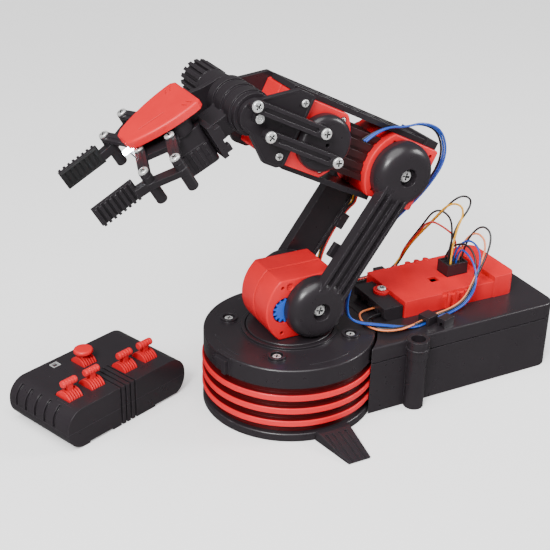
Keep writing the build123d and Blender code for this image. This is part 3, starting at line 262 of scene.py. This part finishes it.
# Light grey for the light button's rim: a painted highlight.
button_painted_highlight = moulded("button_rim_painted_highlight", (0.40, 0.40, 0.40), 0.35)
red_dark = moulded("dark_red_plastic", (0.030, 0.006, 0.007), 0.45)
blue = moulded("blue_gear", (0.02, 0.10, 0.55), 0.35)
white = moulded("white_gear", (0.70, 0.69, 0.64), 0.42)
steel = metal("plated_screw", (0.84, 0.84, 0.83), 0.24, metallic=0.55)
can = metal("motor_can", (0.60, 0.60, 0.61), 0.32, brushed=(1, 0.05, 1))
board = moulded("circuit_board_coat", (0.012, 0.13, 0.045), 0.30, coat=0.4)
sleeve = moulded("battery_sleeve", (0.10, 0.11, 0.13), 0.28, coat=0.5)
lamp = lens("lamp_lens")

FINISH = {
    "black_plastic": black, "red_plastic": red, "dark_red_plastic": red_dark, "blue_gear": blue,
    "white_gear": white, "steel_screw": steel, "motor_can": can, "board_green": board,
    "clear_lens": lamp, "battery_jacket": sleeve, "wire_jacket": black,
}


def paint(node, material):
    mesh = frame["nodes"][node].data
    mesh.materials.clear()
    mesh.materials.append(material)
    for face in mesh.polygons:
        face.material_index = 0


def paint_faces(node, material, chosen):
    """Gives a second material to the faces whose corners chosen(point) all picks."""
    mesh = frame["nodes"][node].data
    mesh.materials.append(material)
    index = len(mesh.materials) - 1
    picked = [chosen(vertex.co) for vertex in mesh.vertices]
    for face in mesh.polygons:
        if all(picked[corner] for corner in face.vertices):
            face.material_index = index


for part in frame["record"]["subparts"]:
    paint(part["node"], FINISH[part["material_slot"]])


# ---- places shared with the CAD ----
SHOULDER = (-6.0, 70.0)
ELBOW = (-59.8, 145.4)
FOREARM_PITCH = 26.9
HAND_PITCH = -30.2
WRIST_S = 105.5
UPPER_PITCH = degrees(atan2(ELBOW[1] - SHOULDER[1], ELBOW[0] - SHOULDER[0]))
FINGER_PAD_Y = 25.25
FINGER_PAD_FLOOR = 8
FINGER_SCREW_FLOOR = 19.65
BUTTON_FLOOR = 24.8


def step_from(origin, pitch, length):
    """The X and Z at that length from origin, at pitch degrees above level."""
    return (origin[0] + length * cos(radians(pitch)), origin[1] + length * sin(radians(pitch)))


WRIST = step_from(ELBOW, FOREARM_PITCH, WRIST_S)
HAND_NORMAL = Vector((-sin(radians(HAND_PITCH)), 0, cos(radians(HAND_PITCH))))
HAND_ORIGIN = Vector((WRIST[0], 0, WRIST[1])) * MM


def above_hand(point):
    """Millimetres above the hand's own plane through the wrist axis."""
    return (point - HAND_ORIGIN).dot(HAND_NORMAL) / MM


# The drum carries painted shade on its rib tops and between its ribs.
paint("ribbed_drum", red_ribbed_painted_shade)
# The light button's rim is painted light grey as a highlight; its sunk floor is black.
paint("light_button", button_painted_highlight)
paint_faces("light_button", black, lambda point: point.z < BUTTON_FLOOR * MM)
for side in ("near", "far"):
    finger = f"finger_{side}"
    paint(finger, black_ribbed)
    paint_faces(
        finger, rubber,
        lambda point: abs(point.y) < FINGER_PAD_Y * MM and above_hand(point) > FINGER_PAD_FLOOR,
    )
    paint_faces(finger, steel, lambda point: above_hand(point) > FINGER_SCREW_FLOOR)


# ---- wiring ----
HOUSING_HALF = 19.5
LINK_WIDTH = 19.5
LID_TOP = 45.7
WIRE_R = 0.65
WIRE_PITCH = 1.38
PLUG_AT = (-123.0, -5.0)
PLUG_TOP = 64.42
FAR_CLIP_Y = -37.0
ARM_CLIP_LEVEL = LINK_WIDTH / 2 + 3.2
WIRE_FLOOR = LID_TOP + WIRE_R + 0.05


def plug_pin(column, row):
    return PLUG_AT[0] + 4.2 * column, PLUG_AT[1] + 3.2 * row


def between(start, end, share):
    return tuple(a + (b - a) * share for a, b in zip(start, end))


def beside(origin, pitch, along, off, y):
    """A point along an arm from its lower axis, and off to its upper side."""
    x, z = step_from(step_from(origin, pitch, along), pitch + 90, off)
    return (x, y, z)


def beside_link(along, off, y):
    return beside(SHOULDER, UPPER_PITCH, along, off, y)


def beside_forearm(along, off, y):
    return beside(ELBOW, FOREARM_PITCH, along, off, y)


def lane(index, columns):
    """A wire's place across and up in its bundle."""
    side = (index % columns - (columns - 1) / 2) * WIRE_PITCH
    return side, index // columns * WIRE_PITCH


def far_crossing(index):
    side, rise = lane(index, 2)
    return (-50, -28 + side, 50.6 + rise), (-35, -23.5 + side, 52.4 + rise)


def far_base_route(index, pin, crest):
    side, rise = lane(index, 2)
    x, y = plug_pin(*pin)
    cx, cz = crest
    floor = WIRE_FLOOR + rise
    start, end = far_crossing(index)
    over = (cx + 6, y - 6.0, cz - 1)
    return [
        (x, y, PLUG_TOP), (x - 0.6, y - 0.6, PLUG_TOP + (cz - PLUG_TOP) * 0.45),
        (cx - 4, y - 2.4, cz - 7), over,
        between(over, (-101, -33, 62), 0.4), between(over, (-101, -37, 58), 0.8),
        (-101.5 - rise, FAR_CLIP_Y + 0.4 + side, 53 + rise), (-94.5, FAR_CLIP_Y + side, floor),
        (-81, FAR_CLIP_Y + side, floor), (-68, -34.0 + side, floor + 1.4), start, between(start, end, 0.5),
    ]


def far_shoulder_route(index):
    side, rise = lane(index, 2)
    start, end = far_crossing(index)
    level = ARM_CLIP_LEVEL - WIRE_PITCH / 2 + rise
    return [
        between(start, end, 0.5), end, (-28.8 - rise, -22.4 + side, 59.5 + rise * 0.5),
        beside_link(13, 20.5 - WIRE_PITCH / 2 + rise, -22 + side), beside_link(31, level, -22.2 + side),
        beside_link(49, level, -22.2 + side),
    ]


def far_elbow_route(index):
    side, rise = lane(index, 2)
    level = ARM_CLIP_LEVEL - WIRE_PITCH / 2 + rise
    return [
        beside_link(49, level, -22.2 + side), beside_link(57, level, -21.6 + side),
        beside_link(65, level, -17.4 + side), beside_forearm(0.3 - rise, -HOUSING_HALF - 0.3, -15 + side),
    ]


def near_crossing(index):
    side = lane(index, 3)[0]
    return (-48, 27 + side, 51.2), (-33, 21 + side, 53.4)


def near_clip_route(index, pin, crest):
    side, rise = lane(index, 3)
    x, y = plug_pin(*pin)
    cx, cz = crest
    floor = WIRE_FLOOR + rise
    return [
        (x, y, PLUG_TOP), (x - 0.5, y + 0.8, PLUG_TOP + (cz - PLUG_TOP) * 0.5),
        (cx, 4.5 + side, cz), (cx - 0.5, 17.5 + side, cz - 5),
        (-119.5 + rise, 25 + side, 63), (-113.5 + rise, 25.4 + side, 51.5 + rise * 0.6),
        (-102, 25.4 + side, floor + 0.3), (-91, 26.4 + side, floor), (-76, 30.6 + side, floor),
    ]


def near_base_route(index, pin, crest):
    side, rise = lane(index, 3)
    start, end = near_crossing(index)
    tail = [(-66, 31.6 + side, WIRE_FLOOR + rise + 0.8), start, between(start, end, 0.5)]
    return near_clip_route(index, pin, crest) + tail


def near_shoulder_route(index):
    side = lane(index, 3)[0]
    start, end = near_crossing(index)
    return [
        between(start, end, 0.5), end, (-27.6, 18.6 + side, 61), (-32, 15.4 + side, 77),
        (-43, 12.5 + side, 93), (-53, 11.4 + side, 104.5),
    ]


def near_elbow_route(index):
    side = lane(index, 3)[0]
    lift = index * 0.7
    return [
        (-53, 11.4 + side, 104.5), (-66, 10.6 + side, 113.8),
        (-85, 9.6 + side, 127), (-97.5 - lift, 9.2 + side, 145), (-92 - lift, 10.4 + side, 163 + lift),
        (-77, 13 + side, 171 + lift), beside_forearm(8, 24.4 + lift, 15 + side),
        beside_forearm(24, 19.0 + lift, 15.2 + side), beside_forearm(32 - index, 9.0, 15.2 + side * 0.5),
    ]


def loose_base_route(index, pin, crest, wide, pocket):
    return near_clip_route(index, pin, crest) + [
        (-66, 32.6 + wide * 0.3, 49.0), (-56, 32.8 + wide, 49.5),
        (-45.5 + wide * 0.4, 29 + wide * 0.7, 49.6),
        (-43.5 + wide, 19.5, 49.5), (-47.5 + wide, pocket + 2.0, 49.4),
        (-56, pocket, 49.1), (-60.5, pocket, 49.0),
    ]


def drawn(name, points, radius):
    """Mesh of the smooth spline that the route controls, or its bare line where the radius is 0."""
    curve = bpy.data.curves.new(name, "CURVE")
    curve.dimensions = "3D"
    curve.bevel_depth = radius
    curve.bevel_resolution = 5
    curve.use_fill_caps = True
    spline = curve.splines.new("NURBS")
    spline.points.add(len(points) - 1)
    for control, point in zip(spline.points, points):
        control.co = (*(Vector(point) * MM), 1.0)
    spline.order_u = 3
    spline.use_endpoint_u = True
    spline.resolution_u = 12
    source = bpy.data.objects.new(f"{name}_route", curve)
    mesh = bpy.data.meshes.new_from_object(source)
    bpy.data.objects.remove(source)
    return mesh


def wire(name, node, points, material):
    """A sleeved wire that stands for its CAD tube.
    """
    line = [tuple(vertex.co) for vertex in drawn(f"{name}_line", points, 0.0).vertices]
    mesh = drawn(name, points, WIRE_R * MM)
    mesh.materials.clear()
    mesh.materials.append(material)
    mesh.shade_smooth()
    piece = bpy.data.objects.new(name, mesh)
    bpy.context.scene.collection.objects.link(piece)
    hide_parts(node)
    return piece


def bent(piece):
    """Bakes the piece's placement into its mesh."""
    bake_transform(piece)


def jacket(name, colour):
    return moulded(name, colour, 0.38, grain=1500, grain_depth=0.12, coat=0.2, spread=0.08, radius=0.0001)


wire_blue = jacket("blue_wire", (0.010, 0.060, 0.36))
wire_black = jacket("black_wire", (0.016, 0.015, 0.017))
wire_red = jacket("red_wire", (0.56, 0.020, 0.012))
wire_peach = jacket("peach_wire", (0.76, 0.22, 0.08))
wire_yellow = jacket("yellow_wire", (0.80, 0.40, 0.012))

# Each wire of the two bundles: its pin on the plug, the crest of its loop as X and Z, the lengths of
# its runs from the base upward, and its sleeve.
FAR = (
    ((1, 1), (-125, 107.5), (173, 63), wire_yellow),
    ((1, 0), (-134, 110.0), (183, 63), wire_black),
    ((0, -1), (-118, 101.5), (155, 61), wire_black),
    ((-1, -1), (-114, 94.0), (144, 61), wire_red),
)
NEAR = (
    ((1, -1), (-124.5, 81.5), (139, 68, 137), wire_black),
    ((0, 0), (-127.5, 84.0), (143, 68, 138), wire_blue),
    ((0, 1), (-121.5, 78.5), (131, 68, 139), wire_blue),
)
# Each wire that ends in the terminal block: its pin, its crest, how far its loop stands out on the
# disc, the Y of its hole in the block, its length and its sleeve.
LOOSE = (
    ((-1, 0), (-133, 88.0), 2.6, 4.0, 186, wire_peach),
    ((-1, 1), (-136, 93.0), 0.0, 12.0, 182, wire_black),
)

for index, (pin, crest, (low, middle), finish) in enumerate(FAR):
    piece = wire(f"far_wire_base_{index}", "base_wires", far_base_route(index, pin, crest), finish)
    bent(piece)
    stub = wire(f"far_wire_elbow_{index}", "elbow_wires", far_elbow_route(index), finish)
    bent(stub)
    route = far_shoulder_route(index)
    piece = wire(
        f"far_wire_shoulder_{index}", "shoulder_wires", route, finish
    )
    bent(piece)

for index, (pin, crest, (low, middle, high), finish) in enumerate(NEAR):
    piece = wire(f"near_wire_base_{index}", "base_wires", near_base_route(index, pin, crest), finish)
    bent(piece)
    route = near_shoulder_route(index)
    piece = wire(f"near_wire_shoulder_{index}", "shoulder_wires", route, finish)
    bent(piece)
    piece = wire(f"near_wire_elbow_{index}", "elbow_wires", near_elbow_route(index), finish)
    bent(piece)

for index, (pin, crest, wide, pocket, length, finish) in enumerate(LOOSE, start=len(NEAR)):
    route = loose_base_route(index, pin, crest, wide, pocket)
    piece = wire(f"near_wire_base_{index}", "base_wires", route, finish)
    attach(piece, "base")


# ---- studio ----
FLOOR_HALF = 6.0
FLOOR_LEVEL = -0.0004
FLOOR_GLOW = 0.35
ARM_MIDDLE = (-0.02, 0.0, 0.08)
CAMERA_AT = (0.2951, 0.5360, 0.3947)
CAMERA_RIGHT = (-0.88801, 0.45941, 0.02037)
CAMERA_UP = (-0.19268, -0.41193, 0.89064)
CAMERA_BACK = (0.41754, 0.78695, 0.45430)
CAMERA_LENS = 75.32


def plane(name, half, z, material):
    corners = [(-half, -half, z), (half, -half, z), (half, half, z), (-half, half, z)]
    mesh = bpy.data.meshes.new(name)
    mesh.from_pydata(corners, [], [(0, 1, 2, 3)])
    mesh.materials.append(material)
    obj = bpy.data.objects.new(name, mesh)
    bpy.context.scene.collection.objects.link(obj)
    return obj


def area_light(name, place, target, size, power):
    data = bpy.data.lights.new(name, "AREA")
    data.shape = "DISK"
    data.size = size
    data.energy = power
    obj = bpy.data.objects.new(name, data)
    obj.location = place
    obj.rotation_mode = "QUATERNION"
    obj.rotation_quaternion = (Vector(target) - Vector(place)).to_track_quat("-Z", "Y")
    bpy.context.scene.collection.objects.link(obj)


def soft_sun(name, toward, spread, power):
    """Very wide light from above, the same over the whole floor."""
    data = bpy.data.lights.new(name, "SUN")
    data.angle = radians(spread)
    data.energy = power
    obj = bpy.data.objects.new(name, data)
    obj.rotation_mode = "QUATERNION"
    obj.rotation_quaternion = (-Vector(toward)).to_track_quat("-Z", "Y")
    bpy.context.scene.collection.objects.link(obj)


floor_finish, floor_nodes, floor_links, floor_shader = new_material("studio_floor")
floor_where = floor_nodes.new("ShaderNodeTexCoord").outputs["Object"]
floor_noise = noise(floor_nodes, floor_links, floor_where, 3.0)
floor_tone = ramp(floor_nodes, floor_links, floor_noise, (0.93, 0.93, 0.93), (0.95, 0.95, 0.95))
floor_links.new(floor_tone, floor_shader.inputs["Base Color"])
floor_shader.inputs["Roughness"].default_value = 0.35
floor_shader.inputs["Emission Color"].default_value = (1.0, 1.0, 1.0, 1)
floor_shader.inputs["Emission Strength"].default_value = FLOOR_GLOW
floor = plane("studio_floor", FLOOR_HALF, FLOOR_LEVEL, floor_finish)
floor.visible_glossy = False

world = bpy.data.worlds.new("studio")
world.use_nodes = True
backdrop = world.node_tree.nodes["Background"]
backdrop.inputs["Color"].default_value = (1.0, 1.0, 1.0, 1)
backdrop.inputs["Strength"].default_value = 0.16
bpy.context.scene.world = world
soft_sun("overhead", (0.25, 0.30, 1.0), 60, 4.1)
area_light("key", (0.62, 0.55, 0.75), ARM_MIDDLE, 0.30, 11.0)
area_light("rim", (-0.85, 0.35, 0.55), ARM_MIDDLE, 0.35, 6.0)

camera_data = bpy.data.cameras.new("photo_camera")
camera_data.sensor_width = 36.0
camera_data.lens = CAMERA_LENS
camera_data.clip_start = 0.01
camera_data.clip_end = 50.0
camera = bpy.data.objects.new("photo_camera", camera_data)
turn = Matrix((CAMERA_RIGHT, CAMERA_UP, CAMERA_BACK)).transposed().to_4x4()
camera.matrix_world = Matrix.Translation(CAMERA_AT) @ turn
bpy.context.scene.collection.objects.link(camera)
bpy.context.scene.camera = camera

bpy.context.view_layer.update()
